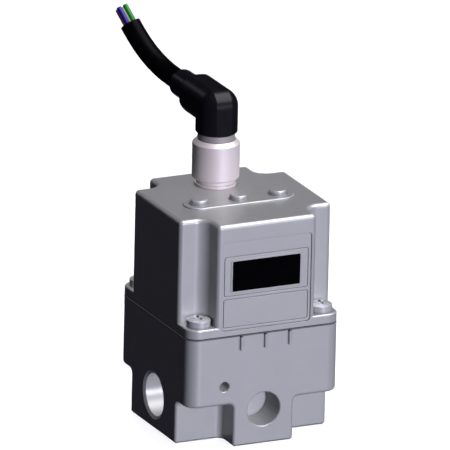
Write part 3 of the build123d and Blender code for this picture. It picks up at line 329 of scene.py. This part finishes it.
# Painted shade in the cover's seams and inner corners
cover_look.paint_crevice_shade(1.2, painted_shade_dark, 0.75)
paint_joint_shade(cover_look)
cover_look.on("cover")

# Front panel: a smooth film, with its outlines sunk and dark
panel_outline_level = -24.55
outline_grey = linear(70, 70, 80)
panel_look = coated("panel_grey", housing_grey, 0.25, 0.006, 0.44)
panel_look.tint(panel_look.above(panel_look.xyz()[1], panel_outline_level * MM), outline_grey)
# Painted shade in the panel's seams and round its edges
panel_look.paint_crevice_shade(0.7, painted_shade_dark, 0.8)
panel_look.on("front_panel")

# Display window: black and glossy
window_look = Look("black_window", linear(1, 1, 2), 0.2, Specular_IOR_Level=0.06)
window_look.vary("Roughness", window_look.noise(4.0, 3), 0.16, 0.24)
window_look.bump(window_look.noise(6.0, 1), 0.01)
window_look.on("display_window")

# Buttons
button_look = coated("button_grey", linear(136, 136, 138), 0.25, 0.006)
# Painted shade round the buttons and in their seams
button_look.paint_crevice_shade(0.8, painted_shade_dark, 0.8)
button_look.on("button_left", "button_middle", "button_right")

# Marks of machining: how much a noise is pressed together in each direction
turned_marks = (1, 1, 60)
drawn_marks = (1, 30, 30)


def metal(name, colour, roughness, marks=None, marks_depth=0.004, metallic=1.0):
    """A metal with slightly uneven gloss, and fine marks if it is machined."""
    look = Look(name, colour, roughness, metallic)
    look.mottle(6.0, 3, 0.35, 0.75, 0.4, shaded(colour, 0.8))
    look.vary("Roughness", look.noise(1.5, 3), roughness - 0.05, roughness + 0.08)
    look.soft_edges(0.1)
    if marks:
        look.bump(look.noise(4.0, 3, look.stretched(*marks)), marks_depth)
    return look


# Screws and connector
screw_look = metal("screw_steel", linear(164, 164, 168), 0.3, turned_marks, metallic=0.3)
# Painted shade, near black, in the screws' cross recesses and seams
screw_look.paint_crevice_shade(1.0, linear(14, 14, 16), 1.0)
screw_look.on("cover_screws", "board_screws", "pilot_screws", "retaining_ring")
connector_look = metal("connector_metal", linear(179, 170, 171), 0.5, turned_marks, metallic=0.16)
# Painted shade in the connector's seams and inner corners
connector_look.paint_crevice_shade(0.8, painted_shade_dark, 0.6)
connector_look.on("coupling_nut", "socket_shell", "socket_nut")
# The sleeve has a darker copy of the connector's metal: painted shade where the plug above
# shadows it, and painted shade in its seams
shaded_neck_look = metal("connector_metal_shaded", linear(126, 121, 123), 0.6, turned_marks, metallic=0.2)
shaded_neck_look.paint_crevice_shade(1.5, painted_shade_dark, 0.7)
shaded_neck_look.on("plug_sleeve")

# Black moulded plug and cable
plug_look = Look("plug_black", linear(13, 13, 17), 0.3, Specular_IOR_Level=0.06)
plug_look.mottle(3.0, 3, 0.4, 0.8, 0.5, linear(18, 18, 22))
plug_look.vary("Roughness", plug_look.noise(1.2, 3), 0.25, 0.34)
plug_look.soft_edges(0.3)
plug_look.bump(plug_look.noise(0.35, 3), 0.006)
plug_look.on("plug_housing")

cable_look = Look("cable_black", linear(2, 2, 3), 0.45, Specular_IOR_Level=0.012)
cable_look.mottle(2.5, 3, 0.4, 0.8, 0.5, linear(5, 5, 6))
cable_look.vary("Roughness", cable_look.noise(0.8, 3), 0.34, 0.46)
cable_look.bump(cable_look.noise(0.6, 3), 0.02)
cable_look.on("cable_jacket")

# Insulation of the cores, in their order round the cable
core_colours = {
    "core_white": linear(214, 206, 180),
    "core_brown": linear(96, 44, 36),
    "core_blue": linear(23, 19, 108),
    "core_green": linear(24, 112, 33),
}
core_looks = {}
for name, colour in core_colours.items():
    core_look = Look(name, colour, 0.3, Specular_IOR_Level=0.12)
    streaks = core_look.noise(1.5, 3)
    core_look.tint(core_look.scaled(streaks, 0.4, 0.8, 0, 0.4), shaded(colour, 0.6))
    core_look.vary("Roughness", streaks, 0.25, 0.36)
    core_look.bump(core_look.noise(0.5, 2), 0.006)
    core_looks[name] = core_look

# Pieces inside
machined_look = metal("machined_metal", linear(190, 190, 192), 0.36, turned_marks, 0.008)
machined_look.on("pilot_block", "valve_guide")
brass_look = metal("valve_brass", linear(205, 176, 110), 0.3, turned_marks, 0.005)
brass_look.on("supply_valve", "valve_rod", "diaphragm_plate")
gold_look = metal("contact_gold", linear(226, 190, 104), 0.22)
gold_look.on("socket_pins", "plug_contacts")
spring_look = metal("spring_steel", linear(170, 170, 172), 0.28)
spring_look.on("valve_spring", "supply_plunger_spring", "exhaust_plunger_spring")
yoke_look = metal("yoke_steel", linear(150, 150, 150), 0.4, drawn_marks, 0.006)
yoke_look.on(
    "supply_yoke",
    "exhaust_yoke",
    "supply_pole",
    "exhaust_pole",
    "supply_plunger",
    "exhaust_plunger",
    "pressure_sensor",
)
rubber_look = Look("seal_rubber", linear(34, 34, 36), 0.62)
rubber_look.mottle(1.5, 3, 0.4, 0.8, 0.6, linear(52, 52, 54))
rubber_look.vary("Roughness", rubber_look.noise(0.8, 2), 0.55, 0.7)
rubber_look.bump(rubber_look.noise(0.4, 3), 0.01)
rubber_look.on(
    "joint_gasket",
    "guide_seals",
    "plug_seal",
    "socket_washer",
    "valve_face",
    "rod_seal",
    "diaphragm",
)
dark_plastic_look = Look("dark_plastic", linear(38, 38, 42), 0.5)
dark_plastic_look.mottle(2.0, 3, 0.4, 0.8, 0.5, linear(50, 50, 54))
dark_plastic_look.bump(dark_plastic_look.noise(0.3, 2), 0.008)
dark_plastic_look.on(
    "socket_insert",
    "plug_insert",
    "supply_valve_base",
    "exhaust_valve_base",
    "switch_bases",
    "switch_stem_left",
    "switch_stem_middle",
    "switch_stem_right",
    "display_module",
)
ring_look = Look("lock_ring_plastic", linear(214, 212, 204), 0.45)
ring_look.mottle(1.5, 2, 0.4, 0.8, 0.5, linear(190, 188, 180))
ring_look.on("nut_lock_ring")

# Boards: paler tracks along the edges of a pattern of cells
track_pitch = 2.4
track_reach = 0.09
board_look = Look("board_green", linear(24, 92, 52), 0.35)
tracks = board_look.below(board_look.cell_edges(track_pitch), track_reach)
board_look.tint(tracks, linear(60, 140, 84))
board_look.bump(tracks, 0.03)
board_look.on("display_board", "control_board")

# Coils: wound wire
wire_pitch = 0.25
coil_look = Look("coil_winding", linear(168, 92, 44), 0.32, 0.6)
windings = coil_look.waves(wire_pitch, "Z")
coil_look.tint(windings, linear(92, 46, 24))
coil_look.bump(windings, 0.08)
coil_look.on("supply_coil", "exhaust_coil")

# Cable: the jacket follows the same route as in the CAD source
cable_r = 3.2
cable_route = [
    (0.0, 34.5, 94.75),
    (0.0, 41.2, 94.75),
    (-1.65, 48.75, 96.25),
    (-4.8, 56.3, 101.5),
    (-6.65, 61.0, 107.1),
]

line = bpy.data.curves.new("cable", "CURVE")
line.dimensions = "3D"
spline = line.splines.new("NURBS")
spline.points.add(len(cable_route) - 1)
for point, place in zip(spline.points, cable_route):
    point.co = (*(Vector(place) * MM), 1)
spline.order_u = 3
spline.use_endpoint_u = True
spline.resolution_u = 16
line.bevel_depth = cable_r * MM
line.bevel_resolution = 10
line.use_fill_caps = True
line.materials.append(cable_look.material)
cable = placed("cable", line)
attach(cable, "housing")
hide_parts("cable_jacket")


def lathed(name, profiles, look, slot, *replaced):
    """A piece of turned shapes on the housing. Each profile has its foot, its axis, its open run
    of (radius, height) points and how many sides it has."""
    shape = bmesh.new()
    for foot, axis, profile, sides in profiles:
        turn = axis.to_track_quat("Z", "X")
        rings = []
        for radius, height in profile:
            places = [
                (radius * cos(tau * i / sides), radius * sin(tau * i / sides), height)
                for i in range(sides)
            ]
            rings.append([shape.verts.new((foot + turn @ Vector(p)) * MM) for p in places])
        for lower, upper in zip(rings, rings[1:]):
            for i in range(sides):
                j = (i + 1) % sides
                shape.faces.new((lower[i], lower[j], upper[j], upper[i]))
        shape.faces.new(rings[0][::-1])
        shape.faces.new(rings[-1])
    mesh = bpy.data.meshes.new(name)
    shape.to_mesh(mesh)
    shape.free()
    for face in mesh.polygons:
        face.use_smooth = True
    mesh.set_sharp_from_angle(angle=radians(35))
    mesh.materials.append(look.material)
    piece = placed(name, mesh)
    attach(piece, "housing")
    if replaced:
        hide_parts(*replaced)


# Cores: insulation with a cut end, and copper strands in it, one amid a ring of six
core_r = 0.8
core_length = 5.9
core_circle_r = 1.5
core_start_angle = 33
core_hole_r = 0.43
core_end_edge = 0.12
core_root = 0.4
core_sides = 40
strand_r = 0.13
strand_tip_r = 0.7 * strand_r
strand_tip_length = strand_r / 3
strand_proud = 0.05
strand_circle_r = 2.05 * strand_r
strands_in_ring = 6
strand_sides = 12
cut_place = Vector(cable_route[-1])
cut_direction = (cut_place - Vector(cable_route[-2])).normalized()
cut_side = (Vector((1, 0, 0)) - cut_direction * cut_direction.x).normalized()
cut_across = cut_direction.cross(cut_side)
insulation = [
    (core_r, -core_root),
    (core_r, core_length - core_end_edge),
    (core_r - core_end_edge, core_length),
    (core_hole_r, core_length),
    (core_hole_r, core_length - 2 * core_end_edge),
]
strand = [
    (strand_r, core_length - 3 * core_end_edge),
    (strand_r, core_length + strand_proud - strand_tip_length),
    (strand_tip_r, core_length + strand_proud),
]


def round_cut(middle, radius, angle):
    """A point on a circle that lies parallel to the cable's cut end."""
    return middle + radius * (cos(angle) * cut_side + sin(angle) * cut_across)


strands = []
for number, name in enumerate(core_colours):
    core_angle = radians(core_start_angle + number * 360 / len(core_colours))
    foot = round_cut(cut_place, core_circle_r, core_angle)
    core = (foot, cut_direction, insulation, core_sides)
    lathed(name + "_insulation", [core], core_looks[name], name, name)
    turns = [tau * i / strands_in_ring for i in range(strands_in_ring)]
    ring = [round_cut(foot, strand_circle_r, turn) for turn in turns]
    strands += [(middle, cut_direction, strand, strand_sides) for middle in (*ring, foot)]
copper_look = metal("core_copper", linear(196, 120, 84), 0.3)
lathed("core_strands", strands, copper_look, "coil_winding")

# Filler in the cable's cut end, slightly domed
filler_r = 2.55
filler_root = 0.3
filler_sides = 48
filler_profile = [(filler_r, -filler_root), (filler_r, 0.02), (2.45, 0.08), (1.2, 0.1)]
filler_look = Look("cable_filler", linear(46, 46, 48), 0.7)
filler_look.mottle(0.5, 3, 0.4, 0.7, 0.6, linear(24, 24, 26))
filler_look.bump(filler_look.noise(0.25, 3), 0.06)
filler = (cut_place, cut_direction, filler_profile, filler_sides)
lathed("cable_filler", [filler], filler_look, "cable_black")

# Floor: it throws no light back on the object
floor_half = 3.0
floor_drop = 0.0002
floor_mesh = bpy.data.meshes.new("floor")
corners = [(x, y, 0) for x, y in ((-1, -1), (1, -1), (1, 1), (-1, 1))]
floor_mesh.from_pydata([Vector(c) * floor_half for c in corners], [], [(0, 1, 2, 3)])
floor_look = Look("floor_pale", linear(253, 253, 253), 0.8)
floor_look.mottle(60.0, 2, 0.3, 0.8, 0.2, linear(250, 250, 251))
floor_mesh.materials.append(floor_look.material)
floor = placed("floor", floor_mesh)
floor.location.z = -floor_drop
floor.visible_diffuse = False
floor.visible_glossy = False

# Soft studio light. As in the photograph, the key throws no shadow. The lamps without gloss only
# fill. The edge lamp, without fill, shows only in the gloss of the rounded edges.
light_distance = 3.0
light_target = Vector((0, 0, 0.05))


def softbox(name, direction, size, power, colour=(1, 1, 1), shadow=False, gloss=True, fill=True):
    """A square area light that looks at the middle of the object. One without gloss is not seen
    in reflections, and one without fill is seen only there."""
    light = bpy.data.lights.new(name, "AREA")
    light.shape = "SQUARE"
    light.size = size
    light.energy = power
    light.color = colour
    light.use_shadow = shadow
    lamp = placed(name, light)
    away = Vector(direction).normalized()
    lamp.location = light_target + away * light_distance
    lamp.rotation_mode = "QUATERNION"
    lamp.rotation_quaternion = away.to_track_quat("Z", "Y")
    lamp.visible_glossy = gloss
    lamp.visible_diffuse = fill


softbox("key", (0.14, -1.0, 0.09), 0.9, 137.0, (0.86, 0.86, 1.0))
softbox("edge", (0.41, -0.32, 0.86), 2.8, 400.0, fill=False)
softbox("left_edge", (-0.31, 0.86, 0.4), 0.5, 2.0, (0.9, 0.92, 1.0))
softbox("top", (0.2, 0.0, 1.0), 1.5, 80.0, gloss=False)
softbox("ground", (0.0, 0.1, 1.0), 1.8, 14.0, shadow=True, gloss=False)
softbox("right", (1.0, -0.1, 0.05), 1.8, 3.0, gloss=False)
softbox("back", (0.45, 1.0, 0.05), 1.0, 130.0, (0.9, 0.9, 1.0), shadow=True, gloss=False)

world = bpy.data.worlds.new("world")
world.use_nodes = True
backdrop = world.node_tree.nodes["Background"]
backdrop.inputs["Color"].default_value = (0.72, 0.7, 1.0, 1)
backdrop.inputs["Strength"].default_value = 0.034
scene.world = world
